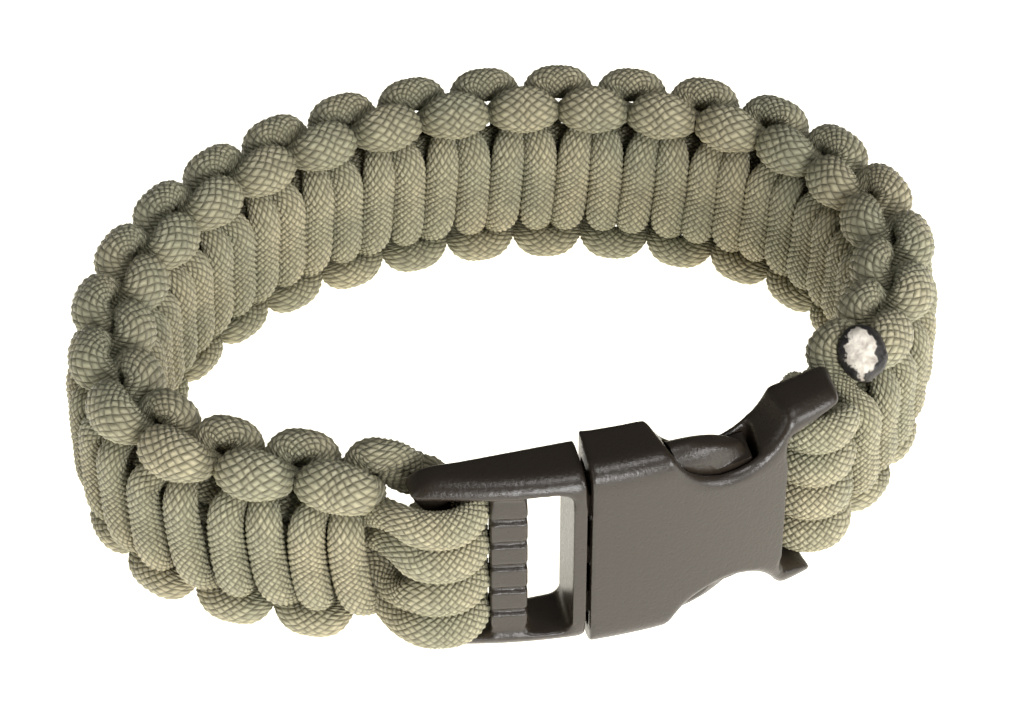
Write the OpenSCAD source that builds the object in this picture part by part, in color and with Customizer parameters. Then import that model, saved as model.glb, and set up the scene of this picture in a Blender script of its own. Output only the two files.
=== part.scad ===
// Braided cord bracelet in the cobra weave, closed with a contoured side release buckle.
// The bracelet stands on its lower edge: Z is up, along the width of the band, and the wrist goes
// through along Z. X runs along the longer axis of the loop and -Y is the side with the buckle.
// Every piece of cord is laid out on a straight band first, with three coordinates: along, out and up.
// Along starts at the seam of the buckle and goes round the loop, out is away from the wrist, and up is
// from the middle of the band. Then the band is bent into the loop.

/* [Band] */
// Full knots in the weave, each made of two crossings
knots = 22; // [16:1:28]
// Length of band that one full knot takes
pitch = 8; // [7.8:0.1:9]
// Width of the band from edge to edge
band_width = 23.3; // [22.8:0.1:26]
// How far the middle of a face strand lies from the middle of the band
face_out = 3.4; // [3.35:0.05:4]
// Lean of the crossing strands from edge to edge
lean = 1.4; // [0:0.1:2]

/* [Cord] */
// Width of a strand where it lies flat on a face
strand_width = 3.76; // [3.2:0.02:3.8]
// Thickness of a strand where it lies flat on a face
strand_thick = 3.2; // [2.8:0.1:3.3]
// Thickness of a strand where it is wrapped round a bar of the buckle
wrap_thick = 2.9; // [2.4:0.1:3]
// Sides of the cord's section
cord_sides = 8; // [6:1:8]

/* [Core] */
// Width that each of the four core strands takes inside the weave
core_width = 2.6; // [2.2:0.1:2.6]
// Thickness of the core strands inside the weave
core_thick = 3.3; // [2.8:0.1:3.4]
// Distance between the strands side by side on a bar of the buckle
wrap_pitch = 4.55; // [4.2:0.05:4.55]

/* [Buckle] */
// Height of the buckle, along the width of the band
buckle_height = 24; // [23.6:0.1:24.2]
// How far the buckle's middle sits above the middle of the band
buckle_lift = 0.35; // [0.3:0.05:1]
// Front of the buckle, measured out from the middle of the band
buckle_front = 4.2; // [4:0.1:5]
// Back of the buckle, measured in from the middle of the band
buckle_back = 2.6; // [2.4:0.1:3]
// Radius to which the front of the buckle is curved along its length
buckle_bend = 57; // [54:1:62]
// Rounding along the front edges of the buckle
edge_round = 2.2; // [1:0.1:2.4]
// Clearance between pieces that do not touch
gap = 0.2; // [0.15:0.05:0.25]

/* [Prong half] */
// Length from the seam to the tip of the frame
frame_length = 16.7; // [16.4:0.1:18]
// Step from the socket half down to the frame, at the top and bottom edges
frame_step = 0.75; // [0.4:0.05:0.8]
// Thickness of the frame's two rails
rail = 1.95; // [1.7:0.05:2]
// Wall between the seam and the open slot
seam_wall = 1.8; // [1.4:0.1:2]
// Width of the open slot next to the seam
slot_open = 4.2; // [4.1:0.1:4.4]
// Width of the ribbed middle bar
ribbed_bar = 3.5; // [2.8:0.1:3.5]
// Ribs on the middle bar
ribs = 6; // [4:1:8]
// Length of the prongs inside the socket half
prong_length = 17.3; // [16.5:0.1:17.4]

/* [Socket half] */
// Length from the seam to the tips of the socket half
socket_length = 26.6; // [26.4:0.1:27.5]
// Length of the cord's slot, from the edge of the front face to the tips
cord_slot = 5.8; // [5.8:0.1:6.6]
// Radius of the two scoops that free the prongs
scoop_radius = 7; // [6:0.1:7.5]
// Distance from the seam to the middle of the scoops
scoop_at = 14; // [13:0.1:14.5]
// Half height that the scoops leave
waist_half = 7.3; // [6.8:0.1:7.6]
// Rounding of the front lip of the scoops
lip_round = 1.6; // [0.6:0.1:1.8]
// Wall in front of and behind the prongs
socket_wall = 1.3; // [1:0.05:1.4]

/* [Hidden] */

cord_colour = [0.47, 0.46, 0.37];
core_colour = [0.55, 0.54, 0.44];
plastic_colour = [0.10, 0.095, 0.09];
melt_colour = [0.8, 0.78, 0.74];
smooth = 96;
over = 40;

// The loop, as arcs that follow each other clockwise from the male end to the other end of the weave.
// Each row is one arc: its share of the woven length and its share of the turn that the buckle leaves.
LENGTH = 0;
TURN = 1;
WEAVE_ARCS = [
    [ 9.0,  3.0],
    [ 8.6, 17.3],
    [10.7, 12.2],
    [15.1, 12.8],
    [24.8, 15.5],
    [31.8, 39.2]
];

// Lengths along the band, from the seam
half_width = band_width / 2;
frame_bar_inset = 2.6;
frame_bar_at = frame_length - frame_bar_inset;
bar_to_weave = 5.4;
first_arch = frame_bar_at + bar_to_weave;
crossings = 2 * knots;
last_strand = first_arch + (crossings + 0.5) * pitch / 2;
tail_to_bar = 6.55;
socket_bar_inset = 0.65;
socket_bar_at = socket_length - socket_bar_inset;
face_length = socket_length - cord_slot;
loop_length = last_strand + tail_to_bar + socket_bar_at;
frame_arc = frame_length + 2.4;
socket_arc = socket_length - 0.8;
woven_arc = loop_length - frame_arc - socket_arc;

function column_sum(table, column) = [for (row = table) 1] * [for (row = table) row[column]];
function degrees_of(length, radius) = length / radius * 180 / PI;

frame_turn = degrees_of(frame_arc, buckle_bend);
socket_turn = degrees_of(socket_arc, buckle_bend);
woven_turn = 360 - frame_turn - socket_turn;

ARCS = concat(
    [[frame_arc, frame_turn]],
    [for (row = WEAVE_ARCS) [
        row[LENGTH] / column_sum(WEAVE_ARCS, LENGTH) * woven_arc,
        row[TURN] / column_sum(WEAVE_ARCS, TURN) * woven_turn]],
    [[socket_arc, socket_turn]]);

// Direction in which the loop leaves the seam towards the frame's tip, and where the seam lies
seam_heading = 192.3;
buckle_turn = seam_heading - 180;

// A station is the start of an arc: x, y, heading and distance from the seam
function arc_radius(arc) = arc[LENGTH] / (arc[TURN] * PI / 180);
function along_arc(station, radius, turn) = [
    station[0] + radius * (sin(station[2]) - sin(station[2] - turn)),
    station[1] + radius * (cos(station[2] - turn) - cos(station[2])),
    station[2] - turn,
    station[3] + radius * turn * PI / 180];

STATIONS = [for (i = 0, s = [0, 0, seam_heading, 0]; i <= len(ARCS);
                 s = i < len(ARCS) ? along_arc(s, arc_radius(ARCS[i]), ARCS[i][TURN]) : s, i = i + 1) s];
closing_slip = [STATIONS[len(ARCS)][0], STATIONS[len(ARCS)][1]];

function arc_index(a, i = 0) = i == len(ARCS) - 1 || a < STATIONS[i + 1][3] ? i : arc_index(a, i + 1);

// Middle line of the band at distance a: x, y and heading, with the closing slip spread along the loop
function middle(a) =
    let (i = arc_index(a), radius = arc_radius(ARCS[i]),
         s = along_arc(STATIONS[i], radius, (a - STATIONS[i][3]) / radius * 180 / PI))
    [s[0] - closing_slip[0] * a / loop_length, s[1] - closing_slip[1] * a / loop_length, s[2]];

// The seam's place puts the middle of the whole bracelet over the origin. The cords stand out further
// than the band's middle line tells, by off_centre.
off_centre = [0.244, 0.51];
MIDDLE_LINE = [for (k = [0:180]) middle(k / 180 * loop_length)];
outermost = face_out + strand_thick / 2;
low_x = min([for (m = MIDDLE_LINE) m[0] - outermost]);
high_x = max([for (m = MIDDLE_LINE) m[0] + outermost]);
low_y = min([for (m = MIDDLE_LINE) m[1] - outermost]);
high_y = max([for (m = MIDDLE_LINE) m[1] + outermost]);
seam = off_centre - [low_x + high_x, low_y + high_y] / 2;

// Just before the socket the band is pulled in a little, because the stiff buckle doesn't follow its bend
pull_in = 1.5;
pull_at = last_strand - 1.5;
pull_before = 28;
pull_after = 8;
function eased(share) = let (s = min(max(share, 0), 1)) s * s * (3 - 2 * s);
function pulled_in(a) =
    pull_in * min(eased((a - pull_at + pull_before) / pull_before), eased((pull_at + pull_after - a) / pull_after));

// Bends a point of the straight band, given as along, out and up, into the loop
function bent(p) =
    let (m = middle(p[0]), out = p[1] - pulled_in(p[0]))
    [seam[0] + m[0] - sin(m[2]) * out, seam[1] + m[1] + cos(m[2]) * out, half_width + p[2]];

// Sweeps the cord's oval section along a path. Each row of a path is a ring: its centre on the straight
// band, a hint of which way its thickness points, half its width and half its thickness.
CENTRE = 0;
HINT = 1;
HALF_WIDTH = 2;
HALF_THICK = 3;
function unit(v) = v / norm(v);
function ring_points(path, i) =
    let (last = len(path) - 1,
         t = unit(path[min(i + 1, last)][CENTRE] - path[max(i - 1, 0)][CENTRE]),
         h = path[i][HINT],
         n = unit(h - (h * t) * t),
         w = cross(t, n))
    [for (k = [0:cord_sides - 1])
        let (turn = (k + 0.5) * 360 / cord_sides)
        bent(path[i][CENTRE] + w * path[i][HALF_WIDTH] * cos(turn) + n * path[i][HALF_THICK] * sin(turn))];

module cord(path) {
    n = cord_sides;
    last = len(path) - 1;
    points = [for (i = [0:last]) each ring_points(path, i)];
    sides = [for (i = [0:last - 1]) for (k = [0:n - 1])
        let (a = i * n + k, b = i * n + (k + 1) % n)
        each [[a, b, b + n], [a, b + n, a + n]]];
    ends = [[for (k = [n - 1:-1:0]) k], [for (k = [0:n - 1]) last * n + k]];
    polyhedron(points = points, faces = concat(sides, ends), convexity = 10);
}

// One arch of a working cord and half of the strand on each side of it. A row is a ring, from the top
// of the arch to the middle of the strand: along in pitches, out in face distances, up in half widths
// of the band, and the ring's width and thickness in strand widths and thicknesses.
ALONG = 0;
OUT = 1;
UP = 2;
WIDE = 3;
THICK = 4;
ARCH = [
    [0.000, -0.567, 0.840, 1.03, 1.00],
    [0.369, -0.807, 0.808, 1.01, 0.81],
    [0.381,  0.308, 0.585, 0.51, 0.94],
    [0.263,  1.119, 0.481, 0.86, 0.75],
    [0.250,  1.000, 0.000, 1.00, 1.00]
];
crown = 0;
strand = 4;
arch_height = ARCH[crown][UP] * half_width;

function leaned(along, up) = along + lean / 2 * up / arch_height;
function band_hint(out, up) = [0, out / pow(face_out * 1.185, 2), up / pow(half_width * 0.644, 2)];

// A ring of an arch: side is 1 at the upper edge and -1 at the lower, face is 1 for strands on the outer
// face and -1 on the inner, and way is -1 before the crown and 1 after it
function arch_ring(row, centre, side, face, way) =
    let (up = side * ARCH[row][UP] * half_width, out = face * ARCH[row][OUT] * face_out)
    [[leaned(centre + way * ARCH[row][ALONG] * pitch, up), out, up],
     band_hint(out, up),
     ARCH[row][WIDE] * strand_width / 2,
     ARCH[row][THICK] * strand_thick / 2];

function rise(centre, side, face, from = strand, to = crown + 1) =
    [for (row = [from:-1:to]) arch_ring(row, centre, side, face, -1)];
function fall(centre, side, face, to = strand - 1) =
    [for (row = [crown:to]) arch_ring(row, centre, side, face, 1)];
function edge_side(j) = j % 2 == 0 ? 1 : -1;

// Cord round a bar of the buckle. The strand passes over the outside of the bar, folds through the slot
// beside it and comes back on the inside. way is 1 if the slot lies towards smaller distances.
frame_bar_out = 1.7;
socket_bar_out = 0.2;
bar_half = 1.15;
wrap_half = wrap_thick / 2;
wrap_radius = bar_half + wrap_half + 1.5 * gap;

function wrap_up(k) = buckle_lift + (2.5 - k) * wrap_pitch;
function core_up(k) = (2.5 - k) * core_width;
function wrap_ring(k, at, out, way, turn) =
    let (side_out = cos(turn), side_along = -way * sin(turn))
    [[at + wrap_radius * side_along, out + wrap_radius * side_out, wrap_up(k)],
     [side_along, side_out, 0],
     wrap_pitch / 2 - gap / 2,
     wrap_half];
wrap_step = 45;
bar_run = 0.4;
function wrap_round(k, at, out, way) = concat(
    [for (turn = [0:wrap_step:180]) wrap_ring(k, at, out, way, turn)],
    [[[at + way * bar_run, out - wrap_radius, wrap_up(k)], [0, -1, 0], wrap_pitch / 2 - gap / 2, wrap_half]]);

// Half of the bend that joins two strands on the inside of a bar, up to the plane midway between them.
// Each row is a ring: how far along the bend and how far over it lies, in bend radiuses, and how much of
// the bend's sinking towards the wrist is done.
BEND = [
    [0.45, 0.08, 0.5],
    [0.87, 0.46, 0.9],
    [1.00, 0.72, 1.0]
];
bend_sink = 1.3;
bend_run = 0.5;
function bend_ring(k, side, along, over_by, sunk, at, out, way) =
    [[at + way * (bend_run + wrap_pitch / 2 * along), out - wrap_radius - bend_sink * sunk, wrap_up(k) + side * over_by],
     [0, -1, 0], wrap_half, wrap_half];
function joining_half(k, to_next, at, out, way) =
    let (side = sign(wrap_up(to_next) - wrap_up(k)), radius = wrap_pitch / 2)
    concat([for (row = BEND) bend_ring(k, side, row[0], row[1] * radius, row[2], at, out, way)],
           [bend_ring(k, side, 1, radius - gap / 2, 1, at, out, way)]);

// Stretches between a bar and the weave, first at the frame and then at the socket. Each row is a ring: its
// distance from the bar in millimetres, how much of the way from the bar to the strand's place in the core
// is done by then, inwards and up, and how far the strands sag there.
DONE_IN = 1;
DONE_UP = 2;
SAG = 3;
FRAME_MOUTH = [
    [1.8, 0.05, 0.08, 0.0],
    [3.5, 0.46, 0.50, 0.2],
    [5.0, 0.94, 0.93, 0.1],
    [7.0, 1.02, 1.00, 0.0],
    [9.0, 1.00, 1.00, 0.0]
];
SOCKET_MOUTH = [
    [1.2, 0.10, 0.06, 0.0],
    [2.5, 0.44, 0.43, 0.1],
    [4.0, 0.94, 0.93, 0.1],
    [5.8, 1.12, 1.00, 0.0],
    [9.0, 1.00, 1.00, 0.0]
];
function mouth_ring(k, row, at, out, way) =
    let (done_in = row[DONE_IN], done_up = row[DONE_UP], start_out = out + wrap_radius)
    [[at + way * row[0],
      start_out * (1 - done_in),
      wrap_up(k) + (core_up(k) - wrap_up(k)) * done_up - row[SAG]],
     [0, 1, 0],
     (wrap_pitch * (1 - done_up) + core_width * done_up - gap) / 2 * (1 - done_up * (1 - done_up) / 1.4),
     wrap_half * (1 - done_in) + core_thick / 2 * done_in];

socket_bar_along = loop_length - socket_bar_at;
mouth_last = len(FRAME_MOUTH) - 1;
core_start = frame_bar_at + FRAME_MOUTH[mouth_last][0];
core_end = socket_bar_along - SOCKET_MOUTH[mouth_last][0];
core_rings = 24;
function core_ring(k, i) =
    [[core_start + (core_end - core_start) * i / core_rings, 0, core_up(k)],
     [0, 1, 0], (core_width - gap) / 2, core_thick / 2];

// Strands 1 and 4 go on as the working cords at the frame. At the frame 2 is joined to 3, and at the
// socket 1 to 2 and 3 to 4, so the whole core is one cord that goes round four times.
function reversed(list) = [for (i = [len(list) - 1:-1:0]) list[i]];
function core_path(k) = concat(
    k == 2 || k == 3 ? reversed(joining_half(k, 5 - k, frame_bar_at, frame_bar_out, 1)) : [],
    reversed(wrap_round(k, frame_bar_at, frame_bar_out, 1)),
    [for (row = [0:mouth_last - 1]) mouth_ring(k, FRAME_MOUTH[row], frame_bar_at, frame_bar_out, 1)],
    [for (i = [0:core_rings]) core_ring(k, i)],
    [for (row = [mouth_last - 1:-1:0]) mouth_ring(k, SOCKET_MOUTH[row], socket_bar_along, socket_bar_out, -1)],
    wrap_round(k, socket_bar_along, socket_bar_out, -1),
    joining_half(k, k % 2 == 1 ? k + 1 : k - 1, socket_bar_along, socket_bar_out, -1));

// The working cords start where strands 1 and 4 end, on the inside of the frame's bar
lead_start = frame_bar_at + bar_run + gap;
lead_out = frame_bar_out - wrap_radius;
OUTER_LEAD = [
    [[lead_start, lead_out, wrap_up(1)], [0, -1, 0], wrap_half * 1.2, wrap_half],
    [[lead_start + 1.2, lead_out, wrap_up(1)], [0, -1, 0], wrap_half * 1.2, wrap_half]
];
INNER_LEAD = [
    [[lead_start, lead_out, wrap_up(4)], [0, -1, 0], wrap_half * 1.2, wrap_half],
    [[lead_start + 1, lead_out, wrap_up(4)], [0, -1, 0], wrap_half * 1.2, wrap_half],
    [[lead_start + 2.6, lead_out - 1.1, wrap_up(4) + 0.2], [0, -1, 0], wrap_half * 1.2, wrap_half],
    [[lead_start + 4.2, -face_out, wrap_up(4) + 1], [0, -1, 0], strand_width * 0.46, strand_thick / 2],
    [[lead_start + 5.6, -face_out, wrap_up(4) + 2.7], [0, -1, 0], strand_width * 0.47, strand_thick / 2]
];

// They end in a short, drawn-in stub that stops part of the way to where the next arch would be
tail_arch = first_arch + (crossings + 1) * pitch / 2;
stub_share = 0.33;
stub_slim = 0.56;
stub_flat = 0.88;
function stub(side, face) =
    let (from = arch_ring(crown + 1, tail_arch, side, face, -1),
         to = arch_ring(crown, tail_arch, side, face, -1))
    [for (share = [0, stub_share])
        [from[CENTRE] + (to[CENTRE] - from[CENTRE]) * share, from[HINT],
         from[HALF_WIDTH] * stub_slim, from[HALF_THICK] * stub_flat]];

function outer_path() = concat(
    OUTER_LEAD,
    rise(first_arch, 1, 1, crown + 1),
    [for (j = [0:crossings]) each concat(
        j == 0 ? [] : rise(first_arch + j * pitch / 2, edge_side(j), 1),
        fall(first_arch + j * pitch / 2, edge_side(j), 1))],
    rise(tail_arch, -1, 1, strand, crown + 2),
    stub(-1, 1));

function inner_path() = concat(
    INNER_LEAD,
    [for (j = [0:crossings - 1]) each concat(
        rise(first_arch + (j + 1) * pitch / 2, edge_side(j), -1),
        fall(first_arch + (j + 1) * pitch / 2, edge_side(j), -1))],
    rise(tail_arch, 1, -1, strand, crown + 2),
    stub(1, -1));

// Melted cut ends, one at the upper edge and one at the lower
tip_radius = 1.2;
tip_thick = 0.9;
tip_dome = 4;
module melted_tip(side, face) {
    from = stub(side, face)[0][CENTRE];
    to = stub(side, face)[1][CENTRE];
    d = unit(bent(to) - bent(from));
    color(melt_colour)
    translate(bent(to) + d * gap)
    rotate([0, acos(d[2]), atan2(d[1], d[0])])
    intersection() {
        cylinder(r = tip_radius, h = tip_thick * 2, $fn = smooth);
        translate([0, 0, tip_thick - tip_dome]) sphere(r = tip_dome, $fn = smooth);
    }
}

// Buckle. Its own frame has X along the buckle from the seam towards the socket's end, Y towards the
// wrist and Z up from its middle. It is drawn there and then set into the loop.
module set_in_loop() {
    translate([seam[0], seam[1], half_width + buckle_lift]) rotate([0, 0, buckle_turn]) children();
}

// Moves a piece drawn at the seam along the buckle's curve
module along_buckle(distance) {
    translate([0, buckle_bend, 0])
    rotate([0, 0, degrees_of(distance, buckle_bend)])
    translate([0, -buckle_bend, 0])
    children();
}

// A ring round the wrist with rounded front edges, of which an outline cuts out one side
module curved_block(front, back, half_height, rounding) {
    translate([0, buckle_bend, 0])
    rotate_extrude($fn = smooth)
    translate([buckle_bend - back, 0])
    union() {
        width = front + back;
        translate([0, -half_height]) square([width - rounding, 2 * half_height]);
        translate([0, rounding - half_height]) square([width, 2 * (half_height - rounding)]);
        for (side = [-1, 1])
            translate([width - rounding, side * (half_height - rounding)]) circle(r = rounding, $fn = smooth);
    }
}

// Extrudes an outline, drawn as along and up, through the buckle's depth
module through_depth() {
    translate([0, deep, 0]) rotate([90, 0, 0]) linear_extrude(2 * deep) children();
}

module rectangle(low, high) {
    translate(low) square(high - low);
}

module rounded_rectangle(low, high, r) {
    rectangle([low[0] + r, low[1]], [high[0] - r, high[1]]);
    rectangle([low[0], low[1] + r], [high[0], high[1] - r]);
    for (x = [low[0] + r, high[0] - r])
        for (y = [low[1] + r, high[1] - r])
            translate([x, y]) circle(r = r, $fn = smooth);
}

buckle_half = buckle_height / 2;
frame_half = buckle_half - frame_step;
window_half = frame_half - rail;
seam_gap = 0.5;
deep = 14;
ribbed_from = seam_wall + slot_open;
ribbed_to = ribbed_from + ribbed_bar;
frame_front = buckle_front - 0.15;
frame_back_at_seam = buckle_back - 0.15;
frame_back_slope = 3.2;
tip_round = 2.8;
window_round = 1.2;

module frame_outline() {
    difference() {
        rounded_rectangle([-frame_length, -frame_half], [tip_round, frame_half], tip_round);
        rectangle([-seam_gap, -over], [over, over]);
        rounded_rectangle([-over, -window_half], [-seam_wall, window_half], window_round);
    }
}

// The frame's back runs straight, so that the frame thins towards its tip
module behind_frame() {
    translate([0, frame_back_at_seam, 0])
    rotate([0, 0, frame_back_slope])
    translate([-over, 0, -over])
    cube([2 * over, over, 2 * over]);
}

// Ribs run along the strap, so that they hold it, and stand out of the bar's front
rib_height = 0.45;
rib_share = 0.76;
rib_out = 3.0;
ribbed_depth = 2.6;
module ribbed_middle_bar() {
    rib_step = 2 * window_half / ribs;
    along_buckle(-(ribbed_from + ribbed_to) / 2) {
        translate([-ribbed_bar / 2, -rib_out, -window_half - rail / 2])
        cube([ribbed_bar, ribbed_depth, 2 * window_half + rail]);
        for (i = [0:ribs - 1])
            translate([-ribbed_bar / 2, -rib_out - rib_height, -window_half + (i + (1 - rib_share) / 2) * rib_step])
            cube([ribbed_bar + rib_height / 2, rib_height + ribbed_depth / 2, rib_step * rib_share]);
    }
}

module end_bar(out, from, to, half_length) {
    translate([0, -out, -half_length])
    linear_extrude(2 * half_length)
    rounded_rectangle([from, -bar_half], [to, bar_half], bar_half * 0.98);
}

// A prong's arm runs along the inside of the socket and ends in the button that stands out of the scoop
arm_low = 5.2;
arm_high = 8.1;
button_from = 8.1;
button_high = 11;
module prong_outline(side) {
    polygon([
        [-seam_wall, side * arm_low],
        [prong_length - 4, side * (arm_low - 0.6)],
        [prong_length - 0.8, side * (arm_low + 0.8)],
        [prong_length, side * (arm_low + 2)],
        [prong_length - 0.5, side * (arm_low + 3)],
        [prong_length - 4, side * (button_high - 1)],
        [button_from + 2.4, side * (button_high - 0.1)],
        [button_from + 0.3, side * button_high],
        [button_from, side * (button_high - 0.3)],
        [button_from - 0.2, side * arm_high],
        [-seam_wall, side * arm_high]]);
}

cavity_front = buckle_front - socket_wall;
cavity_back = 1.2;
cavity_half = 9.6;
cavity_length = prong_length + 0.5;
guide_length = 11;
guide_half = 1.2;
frame_bar_extra = 0.5;

// Room that the prongs have: the cavity, and the scoops where the buttons stand out
module prong_room() {
    cube([4 * over, 4 * deep, 2 * (cavity_half - gap)], center = true);
    for (side = [-1, 1])
        along_buckle(scoop_at)
        translate([0, 0, side * (waist_half + scoop_radius)])
        rotate([90, 0, 0])
        cylinder(r = scoop_radius - gap, h = 2 * deep, center = true, $fn = smooth);
}

module buckle_prong_half() {
    color(plastic_colour)
    set_in_loop() {
        difference() {
            intersection() {
                curved_block(frame_front, deep, frame_half, edge_round);
                through_depth() frame_outline();
            }
            behind_frame();
        }
        ribbed_middle_bar();
        along_buckle(-frame_bar_at)
        end_bar(frame_bar_out, -bar_half - frame_bar_extra, bar_half, window_half + rail / 2);
        intersection() {
            curved_block(cavity_front - gap, cavity_back - gap, button_high, 0.9);
            through_depth() {
                prong_outline(1);
                prong_outline(-1);
                rectangle([-seam_wall, -guide_half], [guide_length, guide_half]);
            }
            prong_room();
        }
    }
}

// The scoops leave flared tips at the end, between which the strap slot opens
flare_round = 1.3;
socket_back_bend = 75;
socket_back_at_seam = 2.7;
slot_half = 9.2;
slot_flare = 1.3;
bar_sunk = 1.8;
module socket_outline() {
    difference() {
        rounded_rectangle([-flare_round, -buckle_half], [socket_length, buckle_half], flare_round);
        rectangle([-over, -over], [0, over]);
        polygon([
            [face_length, -slot_half],
            [socket_length, -slot_half - slot_flare],
            [over, -slot_half - slot_flare],
            [over, slot_half + slot_flare],
            [socket_length, slot_half + slot_flare],
            [face_length, slot_half]]);
    }
}

// Cuts a scoop straight through and rounds its front lip, which runs out a little above the front
lip_above = 0.06;
module scoop(side) {
    along_buckle(scoop_at)
    translate([0, 0, side * (waist_half + scoop_radius)])
    rotate([90, 0, 0])
    rotate_extrude($fn = smooth)
    difference() {
        rectangle([0, -deep], [scoop_radius + lip_round, deep]);
        rectangle([scoop_radius, -deep - 1], [scoop_radius + lip_round + 1, buckle_front - lip_round]);
        translate([scoop_radius + lip_round, buckle_front - lip_round + lip_above])
            circle(r = lip_round, $fn = smooth);
    }
}

module buckle_socket_half() {
    color(plastic_colour)
    set_in_loop() {
        difference() {
            intersection() {
                curved_block(buckle_front, deep, buckle_half, edge_round);
                through_depth() socket_outline();
                translate([0, socket_back_at_seam + socket_back_bend, 0])
                difference() {
                    cylinder(r = 2 * socket_back_bend, h = 2 * over, center = true, $fn = smooth);
                    cylinder(r = socket_back_bend, h = 3 * over, center = true, $fn = 4 * smooth);
                }
            }
            scoop(1);
            scoop(-1);
            intersection() {
                curved_block(cavity_front, cavity_back, cavity_half, 0.3);
                through_depth() rectangle([-1, -over], [cavity_length, over]);
            }
        }
        along_buckle(socket_bar_at)
        end_bar(socket_bar_out, -bar_half, bar_half, slot_half + bar_sunk);
    }
}

module outer_working_cord() {
    color(cord_colour) cord(outer_path());
}

module inner_working_cord() {
    color(cord_colour) cord(inner_path());
}

module core_strand(k) {
    color(core_colour) cord(core_path(k));
}

buckle_prong_half();
buckle_socket_half();
outer_working_cord();
inner_working_cord();
core_strand(1);  // core_strand_1
core_strand(2);  // core_strand_2
core_strand(3);  // core_strand_3
core_strand(4);  // core_strand_4
melted_tip(1, -1);  // melted_tip_upper
melted_tip(-1, 1);  // melted_tip_lower
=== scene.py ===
import math

import bmesh
import bpy
import numpy as np
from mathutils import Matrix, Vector, noise


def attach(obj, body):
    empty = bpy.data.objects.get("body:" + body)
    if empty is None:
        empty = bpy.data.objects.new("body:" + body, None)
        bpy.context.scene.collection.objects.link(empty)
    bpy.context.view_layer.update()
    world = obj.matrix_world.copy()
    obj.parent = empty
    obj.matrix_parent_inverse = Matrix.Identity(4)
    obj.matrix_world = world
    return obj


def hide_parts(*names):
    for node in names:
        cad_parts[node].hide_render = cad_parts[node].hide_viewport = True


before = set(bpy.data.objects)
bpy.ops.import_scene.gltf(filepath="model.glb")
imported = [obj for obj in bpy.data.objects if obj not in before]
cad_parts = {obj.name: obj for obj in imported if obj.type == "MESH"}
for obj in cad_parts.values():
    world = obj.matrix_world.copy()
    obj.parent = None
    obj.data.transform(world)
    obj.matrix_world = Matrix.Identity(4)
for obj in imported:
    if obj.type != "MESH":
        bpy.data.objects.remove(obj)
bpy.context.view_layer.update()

# Sizes in millimetres, the same as the solids'
MM = 0.001
KNOTS = 22
KNOT_PITCH = 8.0
BAND_WIDTH = 23.3
HALF_BAND = BAND_WIDTH / 2
LEAN = 1.4
ARCH_SHARE = 0.84
ARCH_HEIGHT = ARCH_SHARE * HALF_BAND
FACE_OUT = 3.4
CORE_WIDTH = 2.6
CORE_THICK = 3.3
WRAP_THICK = 2.9
WRAP_PITCH = 4.55
BUCKLE_LIFT = 0.35
BUCKLE_BEND = 57.0
FRAME_LENGTH = 16.7
SOCKET_LENGTH = 26.6
FRAME_BAR_INSET = 2.6
FRAME_BAR_OUT = 1.7
SOCKET_BAR_INSET = 0.65
SOCKET_BAR_OUT = 0.2
BAR_HALF = 1.15
GAP = 0.2

# Places along the band, from the seam of the buckle through the frame and round to the seam again. The
# socket's bar is placed from the seam backwards.
BAR_TO_WEAVE = 5.4
TAIL_TO_BAR = 6.55
FRAME_BAR_AT = FRAME_LENGTH - FRAME_BAR_INSET
SOCKET_BAR_AT = SOCKET_LENGTH - SOCKET_BAR_INSET
FIRST_ARCH = FRAME_BAR_AT + BAR_TO_WEAVE
CROSSINGS = 2 * KNOTS
LAST_STRAND = FIRST_ARCH + (CROSSINGS + 0.5) * KNOT_PITCH / 2
TAIL_ARCH = FIRST_ARCH + (CROSSINGS + 1) * KNOT_PITCH / 2
LOOP_LENGTH = LAST_STRAND + TAIL_TO_BAR + SOCKET_BAR_AT
BEND_PAST_FRAME = 2.4
BEND_SHORT_OF_TIP = 0.8
FRAME_ARC = FRAME_LENGTH + BEND_PAST_FRAME
SOCKET_ARC = SOCKET_LENGTH - BEND_SHORT_OF_TIP

# The loop, as arcs that follow each other: share of the woven length, share of the turn
WEAVE_ARCS = [(9.0, 3.0), (8.6, 17.3), (10.7, 12.2), (15.1, 12.8), (24.8, 15.5), (31.8, 39.2)]
SEAM_HEADING = math.radians(192.3)
# The cords stand out further on one side than the band's middle line tells, by this much
OFF_CENTRE = (0.244, 0.51)
MIDDLE_SAMPLES = 181

# Just before the socket the band is pulled in a little, because the stiff buckle doesn't follow its bend
PULL_IN = 1.5
PULL_AT = LAST_STRAND - 1.5
PULL_BEFORE = 28.0
PULL_AFTER = 8.0


def loop_stations():
    """The arcs as length and turn in radians, and the start of each: x, y, heading, distance along."""
    frame_turn = FRAME_ARC / BUCKLE_BEND
    socket_turn = SOCKET_ARC / BUCKLE_BEND
    woven = LOOP_LENGTH - FRAME_ARC - SOCKET_ARC
    turn_left = 2 * math.pi - frame_turn - socket_turn
    lengths = sum(length for length, turn in WEAVE_ARCS)
    turns = sum(turn for length, turn in WEAVE_ARCS)
    arcs = [(FRAME_ARC, frame_turn)]
    arcs += [(length / lengths * woven, turn / turns * turn_left) for length, turn in WEAVE_ARCS]
    arcs += [(SOCKET_ARC, socket_turn)]
    stations = [(0.0, 0.0, SEAM_HEADING, 0.0)]
    for length, turn in arcs:
        x, y, heading, at = stations[-1]
        radius = length / turn
        x += radius * (math.sin(heading) - math.sin(heading - turn))
        y += radius * (math.cos(heading - turn) - math.cos(heading))
        stations.append((x, y, heading - turn, at + length))
    return arcs, np.array(stations)


ARCS, STATIONS = loop_stations()


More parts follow.
